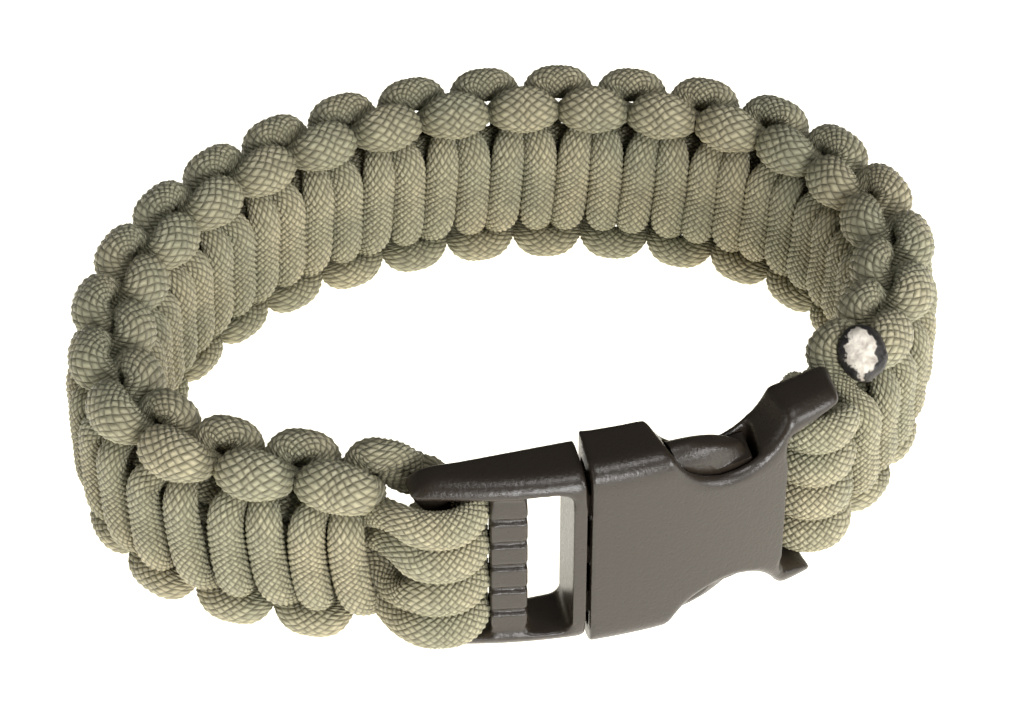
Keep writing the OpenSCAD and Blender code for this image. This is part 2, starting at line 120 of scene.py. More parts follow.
def middle_line(along):
    """Middle of the band at each distance along it: x, y and heading."""
    index = np.clip(np.searchsorted(STATIONS[:, 3], along, side="right") - 1, 0, len(ARCS) - 1)
    x, y, heading, at = STATIONS[index].T
    radius = np.array([length / turn for length, turn in ARCS])[index]
    turned = heading - (along - at) / radius
    share = along / LOOP_LENGTH
    x = x + radius * (np.sin(heading) - np.sin(turned)) - STATIONS[-1, 0] * share
    y = y + radius * (np.cos(turned) - np.cos(heading)) - STATIONS[-1, 1] * share
    return x, y, turned


def seam_place():
    """The seam's place, which puts the middle of the whole bracelet over the origin."""
    x, y = middle_line(np.linspace(0, LOOP_LENGTH, MIDDLE_SAMPLES))[:2]
    return (OFF_CENTRE[0] - (x.min() + x.max()) / 2, OFF_CENTRE[1] - (y.min() + y.max()) / 2)


SEAM = seam_place()


def eased(share):
    s = np.clip(share, 0, 1)
    return s * s * (3 - 2 * s)


def rising(value, start, run):
    """Rises smoothly from 0 at the start to 1 at the end of the run."""
    return eased((value - start) / run)


def bent(points):
    """Bends points of the straight band, given as along, out and up, into the loop."""
    along, out, up = points.T
    x, y, heading = middle_line(along)
    before = eased((along - PULL_AT + PULL_BEFORE) / PULL_BEFORE)
    after = eased((PULL_AT + PULL_AFTER - along) / PULL_AFTER)
    out = out - PULL_IN * np.minimum(before, after)
    return np.stack([SEAM[0] + x - np.sin(heading) * out,
                     SEAM[1] + y + np.cos(heading) * out,
                     HALF_BAND + up], axis=1)


# Rings of a cord are rows: along, out, up, half width, half thickness, and the way its thickness points.
# The arch table runs from the top of an arch to the middle of the strand, without the pointing.
ARCH = [(0.00, -2.50, 9.55, 2.60, 1.75),
        (2.05, -1.95, 9.15, 2.15, 1.70),
        (2.80, 0.90, 6.95, 1.25, 1.20),
        (2.15, 3.49, 4.75, 1.79, 1.36),
        (2.00, FACE_OUT, 0.00, 1.90, 1.66)]
RISING_ROWS = [4, 3, 2, 1]
FALLING_ROWS = [0, 1, 2, 3]
LEG_ROWS = [4, 3, 2]
# The strands of each face lie a little further on than the arches that they hang from
STRAND_SHIFT = {1: 1.2, -1: 0.4}
SHIFT_SHARE = [0.0, 0.0, 0.25, 0.7, 1.0]
# The lower edge stands on the floor, so its arches and its cut end reach a little less far
LOWER_ARCH = [0.963, 0.963, 1.0, 1.0, 1.0]
LOWER_END = 0.93
# The inner cord's first arch bulges a little more towards the frame, with this ring in place of row 1
FIRST_BULGE = (-2.8, 2.3, 9.0, 2.2, 1.8)
# Half sizes of the oval that the thickness of the strands points away from
OVAL_OUT = 4.0
OVAL_UP = 9.0


def band_ring(along, out, up, half_wide, half_thick):
    """Ring of a strand on the woven band, leaned with the band."""
    leaned = along + LEAN / 2 * up / ARCH_HEIGHT
    return (leaned, out, up, half_wide, half_thick, 0.0, out / OVAL_OUT ** 2, up / OVAL_UP ** 2)


def arch_rings(centre, side, face, rows, way):
    """Rings of an arch on one edge of the band: side 1 is the upper edge, face 1 is the outer face."""
    rings = []
    for row in rows:
        along, out, up, wide, thick = ARCH[row]
        reach = LOWER_ARCH[row] if side < 0 else 1
        shift = STRAND_SHIFT[face] * SHIFT_SHARE[row]
        rings.append(band_ring(centre + way * along + shift, face * out, side * up * reach, wide, thick))
    return rings


def edge_side(j):
    """Crossings take turns between the upper edge, 1, and the lower one, -1."""
    return 1 if j % 2 == 0 else -1


# Strands are numbered 1 to 4 from above, so the middle of the band lies between 2 and 3
MIDDLE_STRAND = 2.5


def wrap_up(k):
    return BUCKLE_LIFT + (MIDDLE_STRAND - k) * WRAP_PITCH


def core_up(k):
    return (MIDDLE_STRAND - k) * CORE_WIDTH


WRAP_HALF = WRAP_THICK / 2
WRAP_RADIUS = BAR_HALF + WRAP_HALF + 4 * GAP
WRAPS_APART = 0.08
WRAP_WIDE = (WRAP_PITCH - WRAPS_APART) / 2
BAR_RUN = 0.4

# Leads of the working cords, from the frame's bar to the first arch. Rows: along and out from the start
# of the lead, up from the wrap, half width, half thickness.
LEAD_START = FRAME_BAR_AT + BAR_RUN
LEAD_OUT = FRAME_BAR_OUT - WRAP_RADIUS
LEAD_FLATNESS = 1.2
LEAD_WIDE = WRAP_HALF * LEAD_FLATNESS
TO_INNER_FACE = -FACE_OUT - LEAD_OUT
OUTER_LEAD = [(0.0, 0.0, 0.0, LEAD_WIDE, WRAP_HALF),
              (0.5, -1.3, 0.1, 1.9, 1.5),
              (1.6, -2.0, -0.6, 2.5, 1.6),
              (3.2, -1.6, -0.1, 2.6, 1.7)]
INNER_LEAD = [(0.0, 0.0, 0.0, LEAD_WIDE, WRAP_HALF),
              (1.2, 0.0, 0.0, LEAD_WIDE, WRAP_HALF),
              (2.8, -1.1, 0.2, LEAD_WIDE, WRAP_HALF),
              (4.4, TO_INNER_FACE, 1.0, 1.75, 1.6),
              (5.8, TO_INNER_FACE, 2.7, 1.78, 1.6)]


def lead_rings(k, rows):
    return [(LEAD_START + along, LEAD_OUT + out, wrap_up(k) + up, wide, thick, 0.0, -1.0, 0.0)
            for along, out, up, wide, thick in rows]


def outer_cord_rings():
    rings = lead_rings(1, OUTER_LEAD)
    for j in range(CROSSINGS + 1):
        centre = FIRST_ARCH + j * KNOT_PITCH / 2
        if j > 0:
            rings += arch_rings(centre, edge_side(j), 1, RISING_ROWS, -1)
        rings += arch_rings(centre, edge_side(j), 1, FALLING_ROWS, 1)
    rings += arch_rings(TAIL_ARCH, -1, 1, LEG_ROWS, -1)
    rings += cut_end_rings(-1, 1)
    return rings


def inner_cord_rings():
    rings = lead_rings(4, INNER_LEAD)
    for j in range(CROSSINGS):
        centre = FIRST_ARCH + (j + 1) * KNOT_PITCH / 2
        rings += arch_rings(centre, edge_side(j), -1, LEG_ROWS, -1)
        if j == 0:
            rings.append(band_ring(centre + FIRST_BULGE[0], *FIRST_BULGE[1:]))
        else:
            rings += arch_rings(centre, edge_side(j), -1, RISING_ROWS[-1:], -1)
        rings += arch_rings(centre, edge_side(j), -1, FALLING_ROWS, 1)
    rings += arch_rings(TAIL_ARCH, 1, -1, LEG_ROWS, -1)
    rings += cut_end_rings(1, -1)
    return rings


# Each working cord ends cut short where its next arch would rise. Rows: along from the next arch, out,
# up, half width, half thickness.
CUT_END = [(-3.10, -1.05, 8.05, 1.25, 1.25),
           (-3.20, -1.40, 9.50, 1.85, 1.70),
           (-3.30, -1.80, 10.90, 2.10, 1.95)]


def cut_end_rings(side, face):
    reach = LOWER_END if side < 0 else 1
    return [band_ring(TAIL_ARCH + along, face * out, side * up * reach, wide, thick)
            for along, out, up, wide, thick in CUT_END]


# Stretches between a bar and the weave: distance from the bar, part done inwards, part done up, sag
FRAME_MOUTH = [(1.8, 0.03, 0.04, 0.0), (3.5, 0.22, 0.28, 0.0), (5.0, 0.50, 0.55, 0.0),
               (6.8, 0.88, 0.86, 0.0), (9.0, 1.00, 1.00, 0.0)]
SOCKET_MOUTH = [(1.2, 0.10, 0.06, 0.0), (2.5, 0.44, 0.43, 0.1), (4.0, 0.94, 0.93, 0.1),
                (5.8, 1.12, 1.00, 0.0), (9.0, 1.00, 1.00, 0.0)]
MOUTH_SWELL = 0.5
MOUTH_GAP = 0.1
# How far each strand bows up, and out, on its way from the frame's bar into the weave
FRAME_BOW = {1: (1.8, 0.5), 2: (1.7, 0.2), 3: (-1.5, -0.5), 4: (-0.9, 0.0)}
# How much narrower the strands are midway, at the frame's mouth, 1, and at the socket's, -1
NARROWING = {1: 0.22, -1: 0.13}
# The bend behind a bar from one strand into the next. Rows: along and over in half wraps, share of the sink.
BEND = [(0.45, 0.08, 0.5), (0.87, 0.46, 0.9), (1.00, 0.72, 1.0), (1.00, 1.00, 1.0)]
BEND_SINK = 1.3
BEND_RUN = 0.5
WRAP_STEP = 30
CORE_RINGS = 24


def wrap_rings(k, at, out, way):
    """Half a turn round a bar, from its outer side to its inner side. Way is the direction from the bar to
    the weave: 1 at the frame's bar and -1 at the socket's."""
    rings = []
    for turn in range(0, 180 + WRAP_STEP, WRAP_STEP):
        side_out = math.cos(math.radians(turn))
        side_along = -way * math.sin(math.radians(turn))
        rings.append((at + WRAP_RADIUS * side_along, out + WRAP_RADIUS * side_out, wrap_up(k),
                      WRAP_WIDE, WRAP_HALF, side_along, side_out, 0.0))
    rings.append((at + way * BAR_RUN, out - WRAP_RADIUS, wrap_up(k), WRAP_WIDE, WRAP_HALF, 0.0, -1.0, 0.0))
    return rings


def joining_rings(k, to_next, at, out, way):
    """The bend from strand k half way over to the next one."""
    side = 1 if wrap_up(to_next) > wrap_up(k) else -1
    return [(at + way * (BEND_RUN + WRAP_PITCH / 2 * along), out - WRAP_RADIUS - BEND_SINK * sunk,
             wrap_up(k) + side * over * WRAP_PITCH / 2, WRAP_HALF, WRAP_HALF, 0.0, -1.0, 0.0)
            for along, over, sunk in BEND]


def mouth_ring(k, row, at, out, way):
    """Ring between a bar, where the strand is a wide wrap, and the weave, where it is a slim core strand."""
    distance, done_in, done_up, sag = row
    bow_up, bow_out = FRAME_BOW[k] if way > 0 else (0.0, 0.0)
    midway = 4 * done_up * (1 - done_up)
    wide = (WRAP_PITCH * (1 - done_up) + (CORE_WIDTH + MOUTH_SWELL) * done_up - MOUTH_GAP) / 2
    wide = wide * (1 - midway * NARROWING[way])
    thick = WRAP_HALF * (1 - done_in) + CORE_THICK / 2 * done_in
    return (at + way * distance, (out + WRAP_RADIUS) * (1 - done_in) + bow_out * midway,
            wrap_up(k) + (core_up(k) - wrap_up(k)) * done_up - sag + bow_up * midway,
            wide, thick, 0.0, 1.0, 0.0)


def core_strand_rings(k):
    """Strand k from the frame's bar to the socket's. At the frame's bar 2 and 3 are joined, at the socket's
    1 and 2, and 3 and 4."""
    socket_bar_along = LOOP_LENGTH - SOCKET_BAR_AT
    start = FRAME_BAR_AT + FRAME_MOUTH[-1][0]
    end = socket_bar_along - SOCKET_MOUTH[-1][0]
    partner = k + 1 if k % 2 == 1 else k - 1
    rings = []
    if k in (2, 3):
        rings += joining_rings(k, 5 - k, FRAME_BAR_AT, FRAME_BAR_OUT, 1)[::-1]
    rings += wrap_rings(k, FRAME_BAR_AT, FRAME_BAR_OUT, 1)[::-1]
    rings += [mouth_ring(k, row, FRAME_BAR_AT, FRAME_BAR_OUT, 1) for row in FRAME_MOUTH[:-1]]
    for i in range(CORE_RINGS + 1):
        rings.append((start + (end - start) * i / CORE_RINGS, 0.0, core_up(k),
                      (CORE_WIDTH - GAP) / 2, CORE_THICK / 2, 0.0, 1.0, 0.0))
    rings += [mouth_ring(k, row, socket_bar_along, SOCKET_BAR_OUT, -1) for row in SOCKET_MOUTH[-2::-1]]
    rings += wrap_rings(k, socket_bar_along, SOCKET_BAR_OUT, -1)
    rings += joining_rings(k, partner, socket_bar_along, SOCKET_BAR_OUT, -1)
    return rings


# The curve of a cord has this many pieces from one ring to the next, and rings count as this far apart at
# the least
PIECES_A_RING = 12
SHORTEST_STEP = 0.05

# The sheath of the cord: a braid of small lozenges, two sides and two rings of the mesh to each
SHEATH_COLUMNS = 14
SHEATH_SIDES = 2 * SHEATH_COLUMNS
BRICK_LENGTH = 0.86
RINGS_A_BRICK = 2
RING_STEP = BRICK_LENGTH / RINGS_A_BRICK
SHEATH_RELIEF = 0.15
# The height of the relief that lies on the cord's own section
RELIEF_LEVEL = 0.4
# A yarn is round across, and falls away fully at its sides. Along itself it is flatter, and it falls less
# at its ends, where it goes under the next one.
SIDE_POWER = 1.8
END_POWER = 3.4
SIDE_DIP = 1.0
END_DIP = 0.55
# The bricks keep their length at this share of the thickness, near the side that shows
LENGTH_KEPT_AT = 0.8
# Shares of the section at the last rings, which close the ends of a cord
END_ROUNDING = [0.0, 0.55, 0.8, 0.93]
# Points closer than this are one point, and no direction is taken as shorter than TINY
MERGE_WITHIN = 0.0002 * MM
TINY = 1e-9


def smooth_rings(rings, evenness):
    """Curve through the rings. Evenness 0 takes them as evenly spaced, 0.5 suits uneven spacing."""
    rows = np.array(rings)
    rows = np.vstack([2 * rows[0] - rows[1], rows, 2 * rows[-1] - rows[-2]])
    steps = np.linalg.norm(np.diff(rows[:, :3], axis=0), axis=1)
    knots = np.concatenate([[0], np.cumsum(np.maximum(steps, SHORTEST_STEP) ** evenness)])
    curve = []
    for i in range(1, len(rows) - 2):
        p0, p1, p2, p3 = rows[i - 1:i + 3]
        t0, t1, t2, t3 = knots[i - 1:i + 3]
        m1 = (p2 - p1) / (t2 - t1) - (p2 - p0) / (t2 - t0) + (p1 - p0) / (t1 - t0)
        m2 = (p3 - p2) / (t3 - t2) - (p3 - p1) / (t3 - t1) + (p2 - p1) / (t2 - t1)
        for s in np.arange(PIECES_A_RING) / PIECES_A_RING:
            curve.append((2 * s ** 3 - 3 * s ** 2 + 1) * p1 + (s ** 3 - 2 * s ** 2 + s) * (t2 - t1) * m1
                         + (3 * s ** 2 - 2 * s ** 3) * p2 + (s ** 3 - s ** 2) * (t2 - t1) * m2)
    curve.append(rows[-2])
    return np.array(curve)


def unit_rows(vectors):
    return vectors / np.maximum(np.linalg.norm(vectors, axis=1), TINY)[:, None]


def cord_path(rings, evenness):
    """Evenly spaced points of a cord in the loop, with its half section as two vectors at each."""
    fine = smooth_rings(rings, evenness)
    length = np.sum(np.linalg.norm(np.diff(bent(fine[:, :3]), axis=0), axis=1))
    outside = bent(fine[:, :3] + unit_rows(fine[:, 5:8]) * fine[:, 4:5] * LENGTH_KEPT_AT)
    reach = np.concatenate([[0], np.cumsum(np.linalg.norm(np.diff(outside, axis=0), axis=1))])
    count = int(round(reach[-1] / RING_STEP)) + 1
    where = np.linspace(0, reach[-1], count)
    even = np.stack([np.interp(where, reach, fine[:, c]) for c in range(fine.shape[1])], axis=1)
    centres = bent(even[:, :3])
    tangents = unit_rows(np.gradient(centres, axis=0))
    heading = middle_line(even[:, 0])[2]
    pointing = np.stack([np.cos(heading) * even[:, 5] - np.sin(heading) * even[:, 6],
                         np.sin(heading) * even[:, 5] + np.cos(heading) * even[:, 6],
                         even[:, 7]], axis=1)
    through = unit_rows(pointing - np.sum(pointing * tangents, axis=1)[:, None] * tangents)
    across = np.cross(tangents, through)
    slim = np.ones(count)
    slim[:len(END_ROUNDING)] = END_ROUNDING
    slim[-len(END_ROUNDING):] = END_ROUNDING[::-1]
    return centres, across * (even[:, 3] * slim)[:, None], through * (even[:, 4] * slim)[:, None], length


# Node trees
class Tree:
    """Adds nodes to a tree and links them, so that a formula can be written in one line."""

    def __init__(self, tree):
        self.tree = tree

    def feed(self, socket, value):
        if isinstance(value, bpy.types.NodeSocket):
            self.tree.links.new(value, socket)
        else:
            socket.default_value = value

    def feed_all(self, node, inputs):
        for key, value in inputs.items():
            self.feed(node.inputs[key], value)

    def node(self, kind, inputs=None, **settings):
        made = self.tree.nodes.new(kind)
        for name, value in settings.items():
            setattr(made, name, value)
        self.feed_all(made, inputs or {})
        return made

    def math(self, operation, *values):
        made = self.node("ShaderNodeMath", operation=operation)
        for socket, value in zip(made.inputs, values):
            self.feed(socket, value)
        return made.outputs[0]

    def vector(self, operation, *values, scale=None):
        made = self.node("ShaderNodeVectorMath", operation=operation)
        for socket, value in zip(made.inputs, values):
            self.feed(socket, value)
        if scale is not None:
            self.feed(made.inputs["Scale"], scale)
        return made.outputs[0]

    def mix_colour(self, share, first, second, blend="MIX"):
        """Mixes two colours. They are inputs 6 and 7 of the node, and the result is its output 2."""
        made = self.node("ShaderNodeMix", {0: share, 6: first, 7: second}, data_type="RGBA", blend_type=blend)
        return made.outputs[2]

    def ramp(self, value, *stops):
        """Grey by value, through stops of place and grey."""
        made = self.node("ShaderNodeValToRGB", {0: value})
        elements = made.color_ramp.elements
        while len(elements) < len(stops):
            elements.new(0.5)
        for element, (place, grey) in zip(elements, stops):
            element.position = place
            element.color = (grey, grey, grey, 1)
        return made.outputs[0]

    def noise(self, place, scale, detail, roughness=0.5):
        return self.node("ShaderNodeTexNoise", {"Vector": place, "Scale": scale, "Detail": detail,
                                                "Roughness": roughness}).outputs[0]

    def bump(self, height, strength, distance):
        return self.node("ShaderNodeBump", {"Height": height, "Strength": strength,
                                            "Distance": distance}).outputs[0]

    def uv(self):
        """The two coordinates of the piece's own map."""
        mapped = self.node("ShaderNodeUVMap", uv_map="UVMap").outputs[0]
        spread = self.node("ShaderNodeSeparateXYZ", {0: mapped})
        return spread.outputs[0], spread.outputs[1]

    def place(self):
        return self.node("ShaderNodeTexCoord").outputs["Object"]


def sheath_height(t, across, along):
    """Height of the braided sheath, 0 at a lozenge's corners and 1 on its middle. Two families of yarn
    cross on the diagonals and take turns to lie on top. Also gives the lozenge's two numbers, and the
    place across its yarn."""
    def from_middle(way):
        return t.math("ABSOLUTE", t.math("MULTIPLY_ADD", t.math("FRACT", way), 2.0, -1.0))

    def fall(dip, distance, power):
        return t.math("SUBTRACT", 1.0, t.math("MULTIPLY", dip, t.math("POWER", distance, power)))

    one_way = t.math("ADD", across, along)
    other_way = t.math("SUBTRACT", across, along)
    first = t.math("FLOOR", one_way)
    second = t.math("FLOOR", other_way)
    odd = t.math("FLOORED_MODULO", t.math("ADD", first, second), 2.0)
    power_one = t.math("MULTIPLY_ADD", odd, END_POWER - SIDE_POWER, SIDE_POWER)
    power_other = t.math("SUBTRACT", SIDE_POWER + END_POWER, power_one)
    dip_one = t.math("MULTIPLY_ADD", odd, END_DIP - SIDE_DIP, SIDE_DIP)
    dip_other = t.math("SUBTRACT", SIDE_DIP + END_DIP, dip_one)
    rounded = t.math("MULTIPLY", fall(dip_one, from_middle(one_way), power_one),
                     fall(dip_other, from_middle(other_way), power_other))
    height = t.math("MAXIMUM", rounded, 0.0)
    number = t.math("FLOORED_MODULO", t.math("ADD", first, second), 2.0 * SHEATH_COLUMNS)
    row = t.math("SUBTRACT", first, second)
    across_yarn = t.math("ADD", t.math("MULTIPLY", one_way, t.math("SUBTRACT", 1.0, odd)),
                         t.math("MULTIPLY", other_way, odd))
    return height, number, row, across_yarn


def sheath_tree():
    """Geometry nodes that sweep the braided sheath along a path of points."""
    tree = bpy.data.node_groups.new("braided sheath on a path", "GeometryNodeTree")
    face = tree.interface
    face.new_socket(name="Path", in_out="INPUT", socket_type="NodeSocketGeometry")
    for name, kind in [("Sides", "NodeSocketInt"), ("Columns", "NodeSocketInt"),
                       ("Bricks a ring", "NodeSocketFloat"), ("Relief", "NodeSocketFloat"),
                       ("Cord", "NodeSocketMaterial")]:
        face.new_socket(name=name, in_out="INPUT", socket_type=kind)
    face.new_socket(name="Sheath", in_out="OUTPUT", socket_type="NodeSocketGeometry")
    t = Tree(tree)
    given = t.node("NodeGroupInput").outputs
    size = t.node("GeometryNodeAttributeDomainSize", {"Geometry": given["Path"]}, component="MESH")

    # A grid with a row of points for each ring. The half keeps the rounding down clear of whole numbers.
    row = t.math("ADD", given["Sides"], 1.0)
    grid = t.node("GeometryNodeMeshGrid", {"Vertices X": size.outputs["Point Count"], "Vertices Y": row})
    index = t.node("GeometryNodeInputIndex").outputs[0]
    ring = t.math("FLOOR", t.math("DIVIDE", t.math("ADD", index, 0.5), row))
    side = t.math("SUBTRACT", index, t.math("MULTIPLY", ring, row))
    turn = t.math("MULTIPLY", t.math("DIVIDE", side, given["Sides"]), 2 * math.pi)

    def at_ring(field):
        sample = t.node("GeometryNodeSampleIndex", {"Geometry": given["Path"]}, data_type="FLOAT_VECTOR")
        t.feed(sample.inputs["Value"], field)
        t.feed(sample.inputs["Index"], ring)
        return sample.outputs[0]

    def half_section(name):
        field = t.node("GeometryNodeInputNamedAttribute", {"Name": name}, data_type="FLOAT_VECTOR")
        return at_ring(field.outputs[0])

    # Each point goes to its place on the section, raised by the relief of the braid
    out = t.vector("ADD", t.vector("SCALE", half_section("across"), scale=t.math("COSINE", turn)),
                   t.vector("SCALE", half_section("through"), scale=t.math("SINE", turn)))
    columns = t.math("MULTIPLY", t.math("DIVIDE", side, given["Sides"]), given["Columns"])
    bricks = t.math("MULTIPLY", ring, given["Bricks a ring"])
    height = sheath_height(t, columns, bricks)[0]
    lift = t.vector("SCALE", t.vector("NORMALIZE", out),
                    scale=t.math("MULTIPLY", t.math("SUBTRACT", height, RELIEF_LEVEL), given["Relief"]))
    centre = at_ring(t.node("GeometryNodeInputPosition").outputs[0])
    place = t.vector("ADD", t.vector("ADD", centre, out), lift)
    moved = t.node("GeometryNodeSetPosition", {"Geometry": grid.outputs["Mesh"], "Position": place})

    # The map runs in columns round the cord and in bricks along it
    spread = t.node("ShaderNodeSeparateXYZ", {0: grid.outputs["UV Map"]})
    points = t.math("SUBTRACT", size.outputs["Point Count"], 1.0)
    along = t.math("MULTIPLY", t.math("MULTIPLY", spread.outputs[0], points), given["Bricks a ring"])
    around = t.math("MULTIPLY", spread.outputs[1], given["Columns"])
    both = t.node("ShaderNodeCombineXYZ", {0: around, 1: along})
    named = t.node("GeometryNodeStoreNamedAttribute", {"Geometry": moved.outputs[0], "Name": "UVMap"},
                   data_type="FLOAT2", domain="CORNER")
    t.feed(named.inputs["Value"], both.outputs[0])

    # Each face is cut from groove to groove, so that a lozenge's edges run along its grooves
    face_ring = t.math("FLOOR", t.math("DIVIDE", t.math("ADD", index, 0.5), given["Sides"]))
    face_side = t.math("SUBTRACT", index, t.math("MULTIPLY", face_ring, given["Sides"]))
    odd_face = t.math("FLOORED_MODULO", t.math("ADD", face_ring, face_side), 2.0)
    first_cut = t.node("GeometryNodeTriangulate", {"Mesh": named.outputs[0], "Selection": odd_face},
                       quad_method="FIXED_ALTERNATE")
    second_cut = t.node("GeometryNodeTriangulate", {"Mesh": first_cut.outputs[0]}, quad_method="FIXED")
    merged = t.node("GeometryNodeMergeByDistance", {"Geometry": second_cut.outputs[0],
                                                    "Distance": MERGE_WITHIN})
    soft = t.node("GeometryNodeSetShadeSmooth", {"Geometry": merged.outputs[0]})
    real = t.node("GeometryNodeRealizeInstances", {"Geometry": soft.outputs[0]})
    dressed = t.node("GeometryNodeSetMaterial", {"Geometry": real.outputs[0], "Material": given["Cord"]})
    t.node("NodeGroupOutput", {"Sheath": dressed.outputs[0]})
    return tree


def set_input(modifier, name, value):
    for item in modifier.node_group.interface.items_tree:
        if item.item_type == "SOCKET" and item.in_out == "INPUT" and item.name == name:
            modifier[item.identifier] = value


def add_object(name, mesh):
    made = bpy.data.objects.new(name, mesh)
    bpy.context.scene.collection.objects.link(made)
    return made


def make_plain(made):
    """Turns the evaluated object into a plain mesh and drops its modifiers."""
    bpy.context.view_layer.update()
    graph = bpy.context.evaluated_depsgraph_get()
    mesh = bpy.data.meshes.new_from_object(made.evaluated_get(graph), depsgraph=graph)
    made.modifiers.clear()
    old = made.data
    made.data = mesh
    mesh.name = made.name
    bpy.data.meshes.remove(old)
    return made


def braided_cord(name, rings, evenness, tree, material):
    centres, across, through, length = cord_path(rings, evenness)
    path = bpy.data.meshes.new(name + "_path")
    path.from_pydata((centres * MM).tolist(), [], [])
    for label, values in [("across", across), ("through", through)]:
        attribute = path.attributes.new(label, "FLOAT_VECTOR", "POINT")
        attribute.data.foreach_set("vector", (values * MM).astype(np.float32).ravel())
    made = add_object(name, path)
    sweep = made.modifiers.new("sheath", "NODES")
    sweep.node_group = tree
    for label, value in [("Sides", SHEATH_SIDES), ("Columns", SHEATH_COLUMNS),
                         ("Bricks a ring", 1 / RINGS_A_BRICK), ("Relief", SHEATH_RELIEF * MM),
                         ("Cord", material)]:
        set_input(sweep, label, value)
    print(name, "length", round(float(length), 1), "mm")
    return make_plain(made)


# Materials. Colours are linear, and the scales of noise are per metre.
BEIGE = (0.395, 0.353, 0.226, 1)
GREEN = (0.31, 0.300, 0.196, 1)
# Painted shade: the dark colour laid into the grooves between the lozenges, where shade falls
PAINTED_GROOVE_SHADE = (0.172, 0.157, 0.10, 1)
PATCH_SCALE = 110.0
FIBRE_SCALE = 2600.0
FILAMENTS = 5.0
# Lightness of the lozenges and of the threads: the least, and what is added to it. A painted highlight adds
# more where the relief is high, on the lozenges' tops.
LOZENGE_LIGHT = (0.84, 0.34)
THREAD_LIGHT = (0.72, 0.28)
PAINTED_RELIEF_HIGHLIGHT = 0.26
UNEVEN_SHARE = 0.5
THREAD_GAIN = 1.3
THREAD_RELIEF = 0.14
BRAID_BUMP = 0.28 * MM
BLACK = (0.028, 0.021, 0.015, 1)
GRAIN_SCALE = 2600.0
GRAIN_BUMP = 0.08 * MM
PALE_SHADED = (0.50, 0.44, 0.38, 1)
PALE = (0.80, 0.74, 0.64, 1)
SCORCHED = (0.022, 0.019, 0.018, 1)
MELT_SCALE = 1100.0
MELT_BUMP = 0.3 * MM
# The pale middle of a bead, in half widths and half heights of it, and how ragged its edge is
PALE_ASIDE = 0.14
PALE_WIDE = 0.66
PALE_TALL = 0.82
RAGGED = 1.1


def new_material(name):
    material = bpy.data.materials.new(name)
    material.use_nodes = True
    return material, Tree(material.node_tree), material.node_tree.nodes["Principled BSDF"]


def olive_nylon():
    """Braided nylon: green and beige in patches, a lightness for each lozenge and threads, with painted shade
    darkening the grooves and a painted highlight lightening the lozenges' tops.
    """
    material, t, shader = new_material("olive braided nylon")
    height, number, row, across_yarn = sheath_height(t, *t.uv())
    place = t.place()
    lozenge = t.node("ShaderNodeCombineXYZ", {0: number, 1: row}).outputs[0]
    each = t.node("ShaderNodeTexWhiteNoise", noise_dimensions="2D")
    t.feed(each.inputs["Vector"], lozenge)
    patch = t.noise(place, PATCH_SCALE, detail=3.0)
    uneven = t.noise(place, FIBRE_SCALE, detail=2.0)
    filament = t.math("PINGPONG", t.math("MULTIPLY", across_yarn, FILAMENTS), 0.5)
    worn = t.math("ADD", filament, t.math("MULTIPLY", uneven, UNEVEN_SHARE))
    thread = t.math("MULTIPLY", worn, THREAD_GAIN)
    light = t.math("MULTIPLY_ADD", each.outputs[0], LOZENGE_LIGHT[1], LOZENGE_LIGHT[0])
    fleck = t.math("MULTIPLY_ADD", thread, THREAD_LIGHT[1], THREAD_LIGHT[0])
    # Painted highlight: each lozenge is made lighter towards its raised middle
    bright = t.math("MULTIPLY", light, t.math("MULTIPLY_ADD", height, PAINTED_RELIEF_HIGHLIGHT, fleck))
    tone = t.node("ShaderNodeCombineColor", {0: bright, 1: bright, 2: bright}).outputs[0]
    body = t.mix_colour(t.ramp(patch, (0.38, 0.0), (0.62, 1.0)), BEIGE, GREEN)
    body = t.mix_colour(1.0, body, tone, "MULTIPLY")
    # Painted shade: the colour darkens to the groove shade where the relief is low, between the lozenges
    colour = t.mix_colour(t.ramp(height, (0.0, 0.0), (0.3, 0.6), (0.85, 1.0)), PAINTED_GROOVE_SHADE, body)
    relief = t.math("MULTIPLY_ADD", thread, THREAD_RELIEF, height)
    t.feed_all(shader, {"Base Color": colour, "Roughness": t.ramp(uneven, (0.3, 0.38), (0.7, 0.55)),
                        "Sheen Weight": 0.05, "Sheen Roughness": 0.5, "Specular IOR Level": 0.5,
                        "Normal": t.bump(relief, 1.0, BRAID_BUMP)})
    return material


def black_acetal():
    """Moulded plastic with a fine grain from the mould."""
    material, t, shader = new_material("black moulded acetal")
    grain = t.noise(t.place(), GRAIN_SCALE, detail=3.0, roughness=0.6)
    t.feed_all(shader, {"Base Color": BLACK, "Roughness": t.ramp(grain, (0.3, 0.27), (0.7, 0.35)),
                        "Specular IOR Level": 0.57, "Normal": t.bump(grain, 0.6, GRAIN_BUMP)})
    return material


def melted_nylon():
    """Pale fused core with a ragged edge, in a scorched black ring. U and V run across the bead, -1 to 1."""
    material, t, shader = new_material("melted nylon")
    u, v = t.uv()
    sideways = t.math("DIVIDE", t.math("SUBTRACT", u, PALE_ASIDE), PALE_WIDE)
    upwards = t.math("DIVIDE", v, PALE_TALL)
    from_middle = t.math("SQRT", t.math("ADD", t.math("POWER", sideways, 2.0), t.math("POWER", upwards, 2.0)))
    rough = t.noise(t.place(), MELT_SCALE, detail=5.0)
    ragged = t.math("MULTIPLY_ADD", t.math("SUBTRACT", rough, 0.5), RAGGED, from_middle)
    pale = t.mix_colour(t.ramp(rough, (0.32, 0.0), (0.55, 1.0)), PALE_SHADED, PALE)
    colour = t.mix_colour(t.ramp(ragged, (0.90, 0.0), (1.04, 1.0)), pale, SCORCHED)
    t.feed_all(shader, {"Base Color": colour, "Roughness": 0.42, "Normal": t.bump(rough, 0.9, MELT_BUMP)})
    return material


